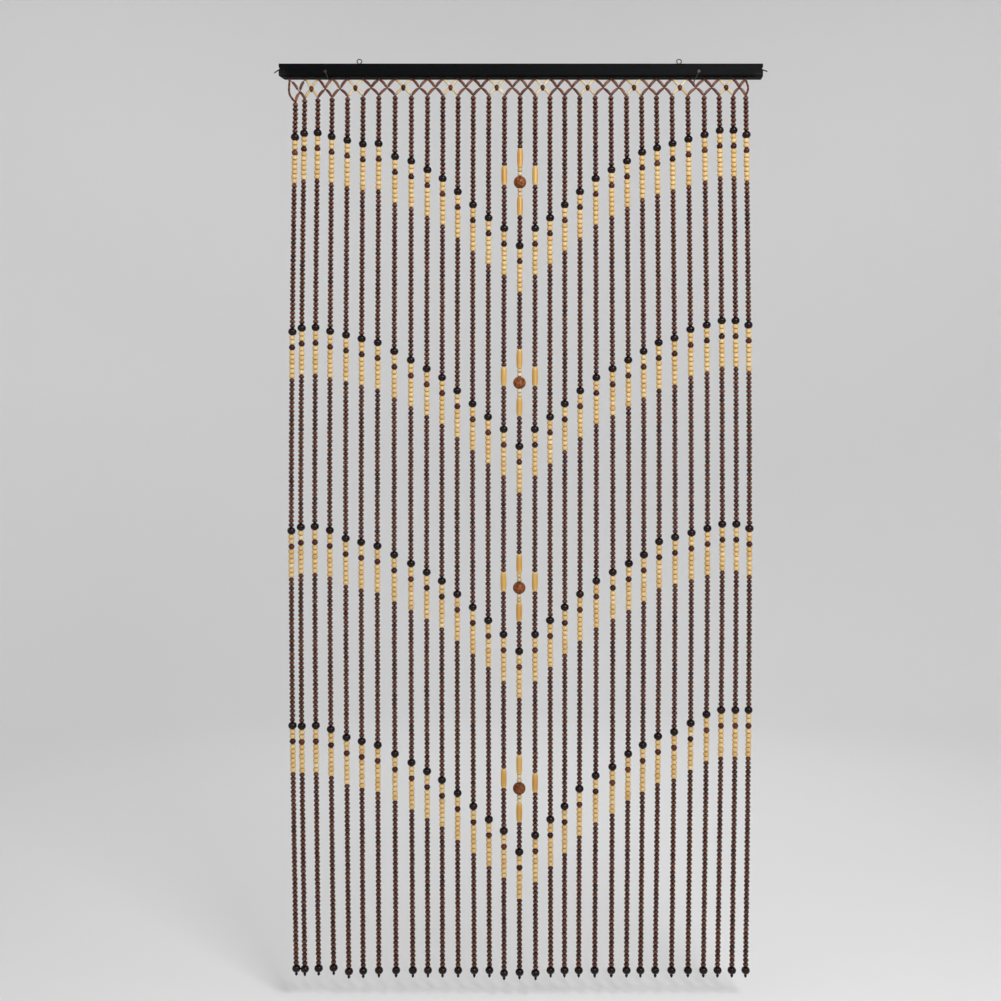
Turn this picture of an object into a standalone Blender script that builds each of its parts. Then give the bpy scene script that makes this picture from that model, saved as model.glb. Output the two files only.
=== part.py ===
"""Bead curtain on a black wooden header bar, which rests on two nails.

The origin is the centre of the bar's top face. +X runs along the bar to the right, +Z is up and
the curtain's front faces -Y. Sizes are in metres, written as millimetres times MM.
"""

import math

import bmesh
import bpy
from mathutils import Vector

MM = 0.001
PART_NAME = "bead_curtain"
GAP = 0.3 * MM

# Header bar: a moulding with a rounded lower front edge
BAR_LENGTH = 926 * MM
BAR_DEPTH = 20 * MM
BAR_HEIGHT = 24.5 * MM
BAR_FRONT_RADIUS = 4 * MM
BAR_EDGE_CHAMFER = 0.8 * MM
WORN_CORNER_X = 6.5 * MM
WORN_CORNER_Z = 10 * MM
WORN_CORNER_TURN = math.radians(-19)
STRING_HOLE_RADIUS = 2.7 * MM
STRING_HOLE_DEPTH = 7 * MM

# Head cord: it comes out of a notch in each end of the bar, and droops a little
CORD_RADIUS = 1.25 * MM
CORD_HOLE_RADIUS = 1.75 * MM
CORD_HOLE_DEPTH = 8 * MM
CORD_Z = -9 * MM
NOTCH_DEPTH = 2.5 * MM
# Places along a cord end: how far beyond the bar's end face, and the part of the droop
CORD_CURVE = ((-6 * MM, 0), (0.5 * MM, 0), (3.5 * MM, 0.2), (7 * MM, 0.62), (10.3 * MM, 1.0))
CORD_ENDS = {
    "left": {"side": -1, "droop": 5.6 * MM},
    "right": {"side": 1, "droop": 2.4 * MM},
}

# Screw eyes: 1.8 mm wire, rings facing the front
EYE_X = {"left": -309.6 * MM, "right": 303.9 * MM}
EYE_WIRE_RADIUS = 0.9 * MM
EYE_RING_RADII = (4.6 * MM, 4.0 * MM)
EYE_RING_Z = 7.4 * MM
EYE_RING_ARC = (-64, 248)
EYE_NECK = ((0.0, 1.2 * MM), (0.25 * MM, 2.3 * MM), (0.8 * MM, 3.1 * MM))
EYE_SHANK_DEPTH = 11 * MM
EYE_HOLE_RADIUS = 1.3 * MM

# Nails under the bar, from behind its back face to well in front of it
NAIL_X = {"left": -369.6 * MM, "right": 334.9 * MM}
NAIL_RADIUS = 1.25 * MM
NAIL_HEAD_RADIUS = 3 * MM
NAIL_HEAD_THICKNESS = 1.2 * MM
NAIL_POINT_LENGTH = 4 * MM
NAIL_FRONT = 41.5 * MM
NAIL_BACK = 25 * MM

# Strings: nearly even places in the middle, closer at both sides
STRAND_COUNT = 31
CENTRE = 15
CENTRE_X = -3.9 * MM
PITCH = 29.8 * MM
LEFT_GAPS = (17.7 * MM, 25.5 * MM, 27.1 * MM)
RIGHT_GAPS = (24.5 * MM, 26.6 * MM, 29 * MM)

# A string is off its even place by two waves from string to string: a wave's height, its turn
# for each string and its start. The middle and the foot of a string add waves of their own.
PLACE_WAVE = {"height": 3.25 * MM, "turn": 0.25, "start": -1.23}
PLACE_RIPPLE = {"height": 1.0 * MM, "turn": 0.98, "start": -0.94}
MIDDLE_WAVE = {"height": 1.5 * MM, "turn": 0.35, "start": -0.77}
FOOT_WAVE = {"height": 1.6 * MM, "turn": 1.39, "start": -3.0}
# The outermost strings stand apart at mid-height and draw in at their feet
SPREAD_MIDDLE = 7.6 * MM
DRAW_IN_FOOT = 2 * MM

# Heading net, from the bar's underside down to the string tops, which hang lower at the left
APEX_Z = -27 * MM
TOP_Z = -59 * MM
LOW_TOPS = 6
LOW_TOP_STEP = 1.15 * MM
FIRST_TOP_Z = -72 * MM
NET_END = 1 * MM
OUTER_APEX_OFFSET = -11.3 * MM
PEG_RADIUS = 1.3 * MM
ARM_RADIUS = 2.1 * MM
OUTER_STRING_RADIUS = 1.3 * MM
CENTRE_BEAD_RADIUS = 4.3 * MM
CENTRE_BEAD_END_RADIUS = 1.5 * MM
CENTRE_BEAD_HALF = 5.2 * MM
LEFT_BEND = (-0.5 * MM, -27 * MM)
RIGHT_BEND = (4.5 * MM, -16.5 * MM)

# The net's strings cross over each other, so each layer lies a little behind or in front of the
# strings' plane. The resolution is the curve's: 0 makes four sides and 4 makes twelve.
LAYERS = {
    "left_arms": {"behind": 0.41 * MM, "resolution": 0},
    "right_arms": {"behind": -0.37 * MM, "resolution": 0},
    "net_extras": {"behind": 0.07 * MM, "resolution": 0},
    "balls": {"behind": 0.0, "resolution": 4},
}

# Beads by kind, with the length that each takes up along the string
BEADS = {
    "brown": {"length": 8.4 * MM, "radius": 4.8 * MM},
    "yellow": {"length": 9.0 * MM, "radius": 5.4 * MM},
    "small_yellow": {"length": 8.0 * MM, "radius": 4.5 * MM},
    "medium": {"length": 10.5 * MM, "radius": 5.9 * MM},
    "dark": {"length": 14.0 * MM, "radius": 7.8 * MM},
    "tube": {"length": 37.0 * MM, "radius": 5.4 * MM},
    "ball": {"length": 23.0 * MM, "radius": 12.0 * MM},
}
CHAIN_RADIUS = BEADS["brown"]["radius"]

# A ball is turned round up to this angle above and below its middle, then cut square
BALL_END_ANGLE = math.radians(72)
BALL_STEPS = 4

# Outline of the beads that stand out of the chain: part of the length, part of the rise
BULGES = {
    "dark": ((0.0, 0.0), (0.24, 1.0), (0.76, 1.0), (1.0, 0.0)),
    "tube": ((0.0, 0.0), (0.03, 1.0), (0.97, 1.0), (1.0, 0.0)),
}
KNOT_LENGTH = 7 * MM
KNOT_RADIUS = 2.6 * MM

# Brown beads above each group of big beads: above the first one by the string's number of
# places from the centre, then by the group
TOP_RUN = (33, 30, 27, 24, 21, 18, 16, 14, 12, 10, 10, 9, 8, 7, 7, 7)
LINK_RUNS = (34, 35, 34)
FOOT_Z = -1748 * MM
FOOT_BELLY = 6 * MM
# In each run the middle string has a ball between tubes and its neighbours have a tube: the
# brown beads that these take the place of, and those left below them
BALL_AND_TUBES = (("tube", 1), ("small_yellow", 2), ("ball", 1), ("small_yellow", 2), ("tube", 1))
BALL_SET = {"beads": BALL_AND_TUBES, "instead": 15, "below": 6}
TUBE_SET = {"beads": (("tube", 1),), "instead": 4, "below": 9}
GROUP = (("dark", 1), ("yellow", 2), ("medium", 1), ("yellow", 6))

# Where the stringing is uneven: the first and last string concerned, the group that the run
# leads to, and the brown beads too many or too few
UNEVEN_RUNS = (
    {"first": 7, "last": 7, "group": 0, "beads": 1},
    {"first": 14, "last": 14, "group": 0, "beads": -1},
    {"first": 16, "last": 16, "group": 0, "beads": -1},
    {"first": 24, "last": 24, "group": 0, "beads": 1},
    {"first": 30, "last": 30, "group": 0, "beads": 1},
    {"first": 0, "last": 5, "group": 1, "beads": -1},
    {"first": 7, "last": 7, "group": 1, "beads": -1},
    {"first": 24, "last": 25, "group": 1, "beads": -1},
    {"first": 26, "last": 30, "group": 1, "beads": -2},
    {"first": 0, "last": 3, "group": 2, "beads": -1},
    {"first": 24, "last": 25, "group": 2, "beads": -1},
    {"first": 0, "last": 0, "group": 3, "beads": -1},
    {"first": 14, "last": 14, "group": 3, "beads": -1},
    {"first": 19, "last": 21, "group": 3, "beads": -1},
    {"first": 22, "last": 23, "group": 3, "beads": -2},
    {"first": 24, "last": 25, "group": 3, "beads": -1},
    {"first": 26, "last": 26, "group": 3, "beads": -2},
    {"first": 27, "last": 29, "group": 3, "beads": -3},
    {"first": 30, "last": 30, "group": 3, "beads": -4},
)

COLOURS = {
    "black_paint": {"colour": (0.010, 0.010, 0.011), "roughness": 0.38, "metallic": 0.0},
    "varnished_beads": {"colour": (0.10, 0.035, 0.020), "roughness": 0.30, "metallic": 0.0},
    "zinc_steel": {"colour": (0.42, 0.42, 0.43), "roughness": 0.35, "metallic": 1.0},
    "brown_cord": {"colour": (0.045, 0.018, 0.015), "roughness": 0.85, "metallic": 0.0},
}


def clear_scene():
    for obj in list(bpy.data.objects):
        bpy.data.objects.remove(obj, do_unlink=True)


def new_collection(name):
    collection = bpy.data.collections.new(name)
    bpy.context.scene.collection.children.link(collection)
    return collection


def make_material(name):
    look = COLOURS[name]
    material = bpy.data.materials.new(name)
    material.use_nodes = True
    shader = material.node_tree.nodes["Principled BSDF"]
    shader.inputs["Base Color"].default_value = (*look["colour"], 1)
    shader.inputs["Roughness"].default_value = look["roughness"]
    shader.inputs["Metallic"].default_value = look["metallic"]
    return material


def link_object(name, data, collection, material=None):
    obj = bpy.data.objects.new(name, data)
    collection.objects.link(obj)
    if material:
        data.materials.append(material)
    return obj


def curve_to_mesh(curve, name, collection, material):
    """Turn a curve into a mesh object with its caps welded, and drop the curve."""
    source = link_object(name + "_curve", curve, collection)
    evaluated = source.evaluated_get(bpy.context.evaluated_depsgraph_get())
    mesh = bpy.data.meshes.new_from_object(evaluated)
    bpy.data.objects.remove(source, do_unlink=True)
    bpy.data.curves.remove(curve)
    weld(mesh)
    mesh.name = name
    return link_object(name, mesh, collection, material)


def weld(mesh):
    work = bmesh.new()
    work.from_mesh(mesh)
    bmesh.ops.remove_doubles(work, verts=work.verts, dist=0.005 * MM)
    bmesh.ops.recalc_face_normals(work, faces=work.faces)
    work.to_mesh(mesh)
    work.free()


def tubes(name, routes, collection, material=None, resolution=0):
    """One mesh object of separate closed tubes, each route a list of (point, radius)."""
    curve = bpy.data.curves.new(name, "CURVE")
    curve.dimensions = "3D"
    curve.bevel_depth = 1.0
    curve.bevel_resolution = resolution
    curve.use_fill_caps = True
    for route in routes:
        spline = curve.splines.new("POLY")
        spline.points.add(len(route) - 1)
        for point, (place, radius) in zip(spline.points, route):
            point.co = (*place, 1)
            point.radius = radius
    return curve_to_mesh(curve, name, collection, material)


def prism(name, outline, half_depth, collection, material=None):
    """A flat outline in local X and Y, made thick by half_depth each way along local Z."""
    curve = bpy.data.curves.new(name, "CURVE")
    curve.dimensions = "2D"
    curve.fill_mode = "BOTH"
    curve.extrude = half_depth
    spline = curve.splines.new("POLY")
    spline.points.add(len(outline) - 1)
    for point, (across, up) in zip(spline.points, outline):
        point.co = (across, up, 0, 1)
    spline.use_cyclic_u = True
    return curve_to_mesh(curve, name, collection, material)


def boolean(obj, other, operation):
    modifier = obj.modifiers.new(operation.lower(), "BOOLEAN")
    modifier.operation = operation
    modifier.solver = "EXACT"
    modifier.object = other


def as_cutter(obj):
    obj.hide_render = True
    obj.display_type = "WIRE"
    return obj


def shade_round(obj, angle=math.radians(35)):
    obj.data.shade_smooth()
    obj.data.set_sharp_from_angle(angle=angle)


def arc(centre, radii, start_deg, end_deg, steps):
    """Points of an elliptical arc round a centre."""
    points = []
    for step in range(steps + 1):
        angle = math.radians(start_deg + (end_deg - start_deg) * step / steps)
        points.append((centre[0] + radii[0] * math.cos(angle), centre[1] + radii[1] * math.sin(angle)))
    return points


def wave(row, index):
    return row["height"] * math.sin(row["turn"] * index + row["start"])


def strand_x(index):
    """A string's place along the bar: nearly even pitch, with closer places at both sides."""
    first_even = len(LEFT_GAPS)
    last_even = STRAND_COUNT - 1 - len(RIGHT_GAPS)
    even = min(max(index, first_even), last_even)
    x = CENTRE_X + PITCH * (even - CENTRE) + wave(PLACE_WAVE, even) + wave(PLACE_RIPPLE, even)
    if index < first_even:
        x -= sum(LEFT_GAPS[index:])
    if index > last_even:
        x += sum(RIGHT_GAPS[STRAND_COUNT - 1 - index:])
    return x


def strand_top(index):
    if index == 0:
        return FIRST_TOP_Z
    return TOP_Z - LOW_TOP_STEP * max(0, LOW_TOPS - index)


def strand_sway(index, depth):
    """How far a string hangs off its place at a depth from 0, its top, to 1, its foot."""
    out = (index - CENTRE) / CENTRE
    middle = SPREAD_MIDDLE * out + wave(MIDDLE_WAVE, index)
    foot = wave(FOOT_WAVE, index) - DRAW_IN_FOOT * out
    return middle * math.sin(math.pi * depth) + foot * depth ** 1.5


def strand_foot(index):
    """The lowest point of a string: the middle ones reach further down."""
    return FOOT_Z - FOOT_BELLY * (1 - ((index - CENTRE) / CENTRE) ** 2)


def length_of(beads):
    return sum(BEADS[kind]["length"] * count for kind, count in beads)


def recipe(index):
    """The beads of one string from the top, as (kind, count)."""
    places = abs(index - CENTRE)
    beads = []
    for group, run in enumerate((TOP_RUN[places], *LINK_RUNS)):
        for row in UNEVEN_RUNS:
            if row["group"] == group and row["first"] <= index <= row["last"]:
                run += row["beads"]
        beads += ornament(places, run)
        beads += GROUP
    end_bead = ("dark", 1)
    left = strand_top(index) - strand_foot(index) - KNOT_LENGTH - length_of([*beads, end_bead])
    return [*beads, ("brown", round(left / BEADS["brown"]["length"])), end_bead]


def ornament(places, run):
    """A run of brown beads, with the ball or the tube that the middle strings carry in it."""
    if places > 1:
        return [("brown", run)]
    row = TUBE_SET if places else BALL_SET
    above = run - row["instead"] - row["below"]
    return [("brown", above), *row["beads"], ("brown", row["below"])]


def bulge(kind, start):
    """Depths and radii along one big bead that starts at a depth."""
    length = BEADS[kind]["length"]
    height = BEADS[kind]["radius"] - CHAIN_RADIUS
    return [(start + length * part, CHAIN_RADIUS + height * rise) for part, rise in BULGES[kind]]


def strand_outline(index):
    """Depth below the top and radius at each step of a string, big beads as bulges."""
    depth = 0.0
    outline = [(depth, CHAIN_RADIUS)]
    for kind, count in recipe(index):
        if kind in BULGES:
            outline += bulge(kind, depth)
        depth += BEADS[kind]["length"] * count
    outline.append((depth + KNOT_LENGTH, KNOT_RADIUS))
    return outline


def hang(index, outline):
    """Place an outline of (depth, radius) on a string as it hangs."""
    length = length_of(recipe(index)) + KNOT_LENGTH
    route = []
    for depth, radius in outline:
        x = strand_x(index) + strand_sway(index, depth / length)
        route.append((Vector((x, 0, strand_top(index) - depth)), radius))
    return route


def apex(index):
    offset = OUTER_APEX_OFFSET if index == 0 else 0.0
    return Vector((strand_x(index) + offset, 0, APEX_Z))


def top(index):
    return Vector((strand_x(index), 0, strand_top(index) - NET_END))


def arm(start, end):
    """One net arm, as thick as the beads on it."""
    return [(start, ARM_RADIUS), (end, ARM_RADIUS)]


def crossing(index):
    """Where the arms between a string and the next one cross, between their apexes and tops."""
    return (apex(index) + apex(index + 1) + top(index) + top(index + 1)) / 4


def build_bar(parts, cutters, material):
    front = -BAR_DEPTH / 2
    back = BAR_DEPTH / 2
    chamfer = BAR_EDGE_CHAMFER
    radius = BAR_FRONT_RADIUS
    outline = [(back, -BAR_HEIGHT + chamfer), (back, -chamfer), (back - chamfer, 0.0)]
    outline += [(front + chamfer, 0.0), (front, -chamfer)]
    outline += arc((front + radius, radius - BAR_HEIGHT), (radius, radius), 180, 270, 6)
    outline += [(back - chamfer, -BAR_HEIGHT)]
    bar = prism("header_bar", outline, BAR_LENGTH / 2, parts, material)
    bar.rotation_euler = (math.pi / 2, 0, math.pi / 2)
    boolean(bar, worn_corner(cutters), "DIFFERENCE")
    boolean(bar, string_holes(cutters), "DIFFERENCE")
    boolean(bar, eye_holes(cutters), "DIFFERENCE")
    boolean(bar, end_notches(cutters), "DIFFERENCE")
    boolean(bar, cord_holes(cutters), "DIFFERENCE")
    return bar


def worn_corner(cutters):
    """What is missing outside an elliptical arc at the bar's lower left corner, more at the back."""
    beyond = 3 * MM
    outline = arc((0, 0), (WORN_CORNER_X, WORN_CORNER_Z), 180, 270, 10)
    outline += [(0, -WORN_CORNER_Z - beyond), (-WORN_CORNER_X - 3 * beyond, -WORN_CORNER_Z - beyond)]
    outline += [(-WORN_CORNER_X - 3 * beyond, 0)]
    cutter = prism("worn_corner", outline, BAR_DEPTH, cutters)
    cutter.rotation_euler = (math.pi / 2, 0, WORN_CORNER_TURN)
    cutter.location = (WORN_CORNER_X - BAR_LENGTH / 2, 0, WORN_CORNER_Z - BAR_HEIGHT)
    return as_cutter(cutter)


def string_holes(cutters):
    routes = []
    for index in range(STRAND_COUNT):
        x = apex(index).x
        mouth = Vector((x, 0, -BAR_HEIGHT - 2 * MM))
        end = Vector((x, 0, -BAR_HEIGHT + STRING_HOLE_DEPTH))
        routes.append([(mouth, STRING_HOLE_RADIUS), (end, STRING_HOLE_RADIUS)])
    return as_cutter(tubes("string_holes", routes, cutters, resolution=2))


def eye_holes(cutters):
    routes = []
    for x in EYE_X.values():
        mouth = Vector((x, 0, 2 * MM))
        end = Vector((x, 0, -EYE_SHANK_DEPTH - 1 * MM))
        routes.append([(mouth, EYE_HOLE_RADIUS), (end, EYE_HOLE_RADIUS)])
    return as_cutter(tubes("eye_holes", routes, cutters, resolution=2))


def end_notches(cutters):
    """A small V across each end face, where the head cord comes out: half of a square bar."""
    routes = []
    for side in (-1, 1):
        ends = [Vector((side * BAR_LENGTH / 2, y, CORD_Z)) for y in (-BAR_DEPTH, BAR_DEPTH)]
        routes.append([(end, NOTCH_DEPTH) for end in ends])
    return as_cutter(tubes("end_notches", routes, cutters))


def cord_holes(cutters):
    routes = []
    for side in (-1, 1):
        mouth = Vector((side * (BAR_LENGTH / 2 + 2 * MM), 0, CORD_Z))
        end = Vector((side * (BAR_LENGTH / 2 - CORD_HOLE_DEPTH), 0, CORD_Z))
        routes.append([(mouth, CORD_HOLE_RADIUS), (end, CORD_HOLE_RADIUS)])
    return as_cutter(tubes("cord_holes", routes, cutters, resolution=2))


def build_strings(parts, cutters, material):
    """The net and the strings, joined into one body where the real ones are knotted."""
    indices = range(STRAND_COUNT)
    routes = [hang(i, strand_outline(i)) for i in indices]
    strings = tubes("bead_strings", routes, parts, material)
    layer_routes = {
        "left_arms": [arm(apex(i + 1), top(i)) for i in indices[:-1]],
        "right_arms": [peg(i) + arm(apex(i), top(i + 1)) for i in indices[:-1]],
        "net_extras": net_extras(),
        "balls": ball_routes(),
    }
    for name, row in LAYERS.items():
        layer = tubes(name, layer_routes[name], cutters, resolution=row["resolution"])
        layer.location.y = row["behind"]
        boolean(strings, as_cutter(layer), "UNION")
    return strings


def peg(index):
    """The string ends that go up into the bar's hole."""
    return [(Vector((apex(index).x, 0, -BAR_HEIGHT + STRING_HOLE_DEPTH - 1 * MM)), PEG_RADIUS)]


def ball_routes():
    """The middle string's balls, each a turned ball cut square at its threading holes."""
    ball = BEADS["ball"]
    angles = [BALL_END_ANGLE * step / BALL_STEPS for step in range(-BALL_STEPS, BALL_STEPS + 1)]
    half = ball["length"] / 2
    routes = []
    depth = 0.0
    for kind, count in recipe(CENTRE):
        if kind == "ball":
            outline = []
            for angle in angles:
                down = half * (1 + math.sin(angle) / math.sin(BALL_END_ANGLE))
                outline.append((depth + down, ball["radius"] * math.cos(angle)))
            routes.append(hang(CENTRE, outline))
        depth += BEADS[kind]["length"] * count
    return routes


def net_extras():
    """The round beads at every third crossing, and the outer string at each side."""
    routes = []
    for index in range(1, STRAND_COUNT - 1, 3):
        centre = crossing(index)
        half = Vector((0, 0, CENTRE_BEAD_HALF))
        ends = [(centre + half, CENTRE_BEAD_END_RADIUS), (centre - half, CENTRE_BEAD_END_RADIUS)]
        routes.append([ends[0], (centre, CENTRE_BEAD_RADIUS), ends[1]])
    last = STRAND_COUNT - 1
    routes.append(outer_string(0, LEFT_BEND))
    routes.append(peg(last) + outer_string(last, RIGHT_BEND))
    return routes


def outer_string(index, bend):
    """The string down the net's side, by the place of its bend across and up from its hole."""
    start = apex(index)
    places = (start, start + Vector((bend[0], 0, bend[1])), top(index))
    return [(place, OUTER_STRING_RADIUS) for place in places]


def build_eye(name, x, parts, material):
    """A screw eye: a straight shank, a short bend and a nearly closed ring."""
    shank = ((0.0, -EYE_SHANK_DEPTH), *EYE_NECK)
    ring = arc((0.0, EYE_RING_Z), EYE_RING_RADII, *EYE_RING_ARC, 26)
    route = [(Vector((across, 0, up)), EYE_WIRE_RADIUS) for across, up in (*shank, *ring)]
    eye = tubes(name, [route], parts, material, resolution=2)
    eye.location.x = x
    shade_round(eye)
    return eye


def build_nail(name, x, parts, material):
    """A turned nail along Y: local Z runs from its point, behind, to its head, in front."""
    length = NAIL_FRONT + NAIL_BACK
    head_foot = length - NAIL_HEAD_THICKNESS
    rim = 0.35 * MM
    profile = (
        (0.0, length),
        (NAIL_HEAD_RADIUS - rim, length),
        (NAIL_HEAD_RADIUS, length - rim),
        (NAIL_HEAD_RADIUS, head_foot + rim),
        (NAIL_HEAD_RADIUS - rim, head_foot),
        (NAIL_RADIUS, head_foot),
        (NAIL_RADIUS, NAIL_POINT_LENGTH),
        (0.0, 0.0),
    )
    mesh = bpy.data.meshes.new(name)
    work = bmesh.new()
    verts = [work.verts.new((across, 0, up)) for across, up in profile]
    for first, second in zip(verts, verts[1:]):
        work.edges.new((first, second))
    work.to_mesh(mesh)
    work.free()
    nail = link_object(name, mesh, parts, material)
    nail.rotation_euler.x = math.pi / 2
    nail.location = (x, NAIL_BACK, -BAR_HEIGHT - GAP - NAIL_RADIUS)
    screw = nail.modifiers.new("turned", "SCREW")
    screw.steps = 14
    screw.render_steps = 14
    screw.use_merge_vertices = True
    screw.merge_threshold = 0.01 * MM
    screw.use_smooth_shade = True
    return nail


def build_cord_end(name, side, droop, parts, material):
    """A stub of the head cord: straight out of the bar's end, then down by its droop."""
    face = BAR_LENGTH / 2
    route = []
    for beyond, fall in CORD_CURVE:
        place = Vector((side * (face + beyond), 0, CORD_Z - droop * fall))
        route.append((place, CORD_RADIUS))
    cord = tubes(name, [route], parts, material, resolution=2)
    shade_round(cord)
    return cord


def main():
    clear_scene()
    parts = new_collection(PART_NAME)
    cutters = new_collection("cutters")
    materials = {name: make_material(name) for name in COLOURS}
    build_bar(parts, cutters, materials["black_paint"])
    build_strings(parts, cutters, materials["varnished_beads"])
    for side, x in EYE_X.items():
        build_eye("screw_eye_" + side, x, parts, materials["zinc_steel"])
    for side, x in NAIL_X.items():
        build_nail("nail_" + side, x, parts, materials["zinc_steel"])
    for name, row in CORD_ENDS.items():
        build_cord_end("cord_end_" + name, row["side"], row["droop"], parts, materials["brown_cord"])


main()
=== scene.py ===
"""A bead curtain on its black header bar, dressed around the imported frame.

Everything is in metres in the frame's own axes: +X runs along the bar, +Z is up and the front
faces -Y. Lengths are written as millimetres times MM.
"""

import logging
import math
from dataclasses import dataclass, field
from enum import Enum
from typing import Any, Iterable

import bpy
import numpy as np
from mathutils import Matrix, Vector


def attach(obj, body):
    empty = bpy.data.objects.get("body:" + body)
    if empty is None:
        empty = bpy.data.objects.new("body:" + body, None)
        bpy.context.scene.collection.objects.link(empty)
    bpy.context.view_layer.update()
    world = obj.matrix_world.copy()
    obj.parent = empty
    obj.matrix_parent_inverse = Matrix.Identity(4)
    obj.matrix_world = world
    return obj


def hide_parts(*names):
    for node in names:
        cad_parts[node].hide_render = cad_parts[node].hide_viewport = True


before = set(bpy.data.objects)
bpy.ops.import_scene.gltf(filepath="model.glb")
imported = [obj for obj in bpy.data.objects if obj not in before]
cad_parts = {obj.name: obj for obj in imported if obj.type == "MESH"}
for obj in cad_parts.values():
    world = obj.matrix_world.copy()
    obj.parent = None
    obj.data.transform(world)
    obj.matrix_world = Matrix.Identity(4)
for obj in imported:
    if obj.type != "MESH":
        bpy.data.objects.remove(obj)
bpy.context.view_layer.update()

MM = 0.001
SEED = 31
ALONG = np.array((1.0, 0.0, 0.0))
DEPTH = np.array((0.0, 1.0, 0.0))
UP = np.array((0.0, 0.0, 1.0))
LOG = logging.getLogger("bead_curtain")


# Meshes from whole arrays


def unit(vectors: np.ndarray) -> np.ndarray:
    """Scale vectors on the last axis to length 1."""
    return vectors / np.linalg.norm(vectors, axis=-1, keepdims=True)


def turns(sides: int) -> np.ndarray:
    """Even angles round a ring."""
    return np.linspace(0, math.tau, sides, endpoint=False)


def run_along(path: np.ndarray) -> np.ndarray:
    """The length of a path up to each of its points, from the distances between them."""
    return np.concatenate([[0], np.cumsum(np.linalg.norm(np.diff(path, axis=0), axis=1))])


def strands(phase: np.ndarray) -> np.ndarray:
    """How high the laid strands of a cord stand, from 0 in a groove to 1, as a cosine."""
    return 0.5 + 0.5 * np.cos(phase)


@dataclass
class Shell:
    """Closed pieces held as arrays, ready to become one mesh.

    points has a row for each point, faces holds one array for each number of corners, and
    features holds one number for each point under each name.
    """

    points: np.ndarray
    faces: tuple[np.ndarray, ...]
    features: dict[str, np.ndarray] = field(default_factory=dict)

    def with_shell(self, other: "Shell") -> "Shell":
        """Join another shell of the same kind to this one.

        Args:
            other: the shell whose points follow this one's; only features that both have are kept.

        Returns:
            A shell that holds both.
        """
        shift = len(self.points)
        shared = self.features.keys() & other.features.keys()
        return Shell(
            np.concatenate([self.points, other.points]),
            (*self.faces, *(faces + shift for faces in other.faces)),
            {key: np.concatenate([self.features[key], other.features[key]]) for key in shared},
        )

    def piece(self, name: str, sharp_angle: float = 55.0) -> bpy.types.Object:
        """Make the mesh object, smooth but for edges sharper than an angle.

        Args:
            name: the piece's name.
            sharp_angle: edges that turn by more degrees than this stay sharp.

        Returns:
            The new object, at the origin, in the scene's collection.
        """
        corners = np.concatenate([faces.ravel() for faces in self.faces])
        sizes = np.concatenate([np.full(len(faces), faces.shape[1]) for faces in self.faces])
        starts = np.concatenate([[0], np.cumsum(sizes)[:-1]])
        mesh = bpy.data.meshes.new(name)
        mesh.vertices.add(len(self.points))
        mesh.vertices.foreach_set("co", self.points.astype(np.float32).ravel())
        mesh.loops.add(len(corners))
        mesh.loops.foreach_set("vertex_index", corners.astype(np.int32))
        mesh.polygons.add(len(sizes))
        mesh.polygons.foreach_set("loop_start", starts.astype(np.int32))
        mesh.update(calc_edges=True)
        mesh.shade_smooth()
        mesh.set_sharp_from_angle(angle=math.radians(sharp_angle))
        for key, values in self.features.items():
            layer = mesh.attributes.new(key, "FLOAT", "POINT")
            layer.data.foreach_set("value", values.astype(np.float32).ravel())
        obj = bpy.data.objects.new(name, mesh)
        bpy.context.scene.collection.objects.link(obj)
        return obj


def closed_rings(grid: np.ndarray, **features: np.ndarray) -> Shell:
    """Close each stack of rings in a grid into a shell of its own.

    Point j of ring k is joined to its neighbour j + 1 and to ring k + 1, and the first and the
    last ring of each stack are closed by one face each.

    Args:
        grid: points by stack, ring, side and axis, each ring turning right-handed about the way
            from one ring to the next.
        features: named numbers that can be spread over stack, ring and side.

    Returns:
        The shell of all the stacks.
    """
    count, rings, sides, _ = grid.shape
    index = np.arange(count * rings * sides).reshape(count, rings, sides)
    beside = np.roll(index, -1, axis=2)
    quads = np.stack([index[:, :-1], beside[:, :-1], beside[:, 1:], index[:, 1:]], axis=-1)
    caps = np.concatenate([index[:, 0, ::-1], index[:, -1]])
    spread = {key: np.broadcast_to(value, index.shape).ravel() for key, value in features.items()}
    return Shell(grid.reshape(-1, 3), (quads.reshape(-1, 4), caps), spread)


def swept(paths: np.ndarray, radii: np.ndarray, sides: int) -> np.ndarray:
    """Carry a ring along each path.

    A point is its path's point plus the radius times cos(angle) along one normal and sin(angle)
    along the other. The first normal is square to the path and to the depth.

    Args:
        paths: points by path, step and axis.
        radii: the radius, which can be spread over path, step and side.
        sides: points in a ring.

    Returns:
        Points by path, step, side and axis.
    """
    tangent = unit(np.gradient(paths, axis=1))
    first = unit(np.cross(np.broadcast_to(DEPTH, tangent.shape), tangent))
    second = np.cross(tangent, first)
    angle = turns(sides)[:, None]
    ring = first[:, :, None] * np.cos(angle) + second[:, :, None] * np.sin(angle)
    shape = (*paths.shape[:2], sides)
    return paths[:, :, None] + ring * np.broadcast_to(radii, shape)[..., None]


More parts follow.
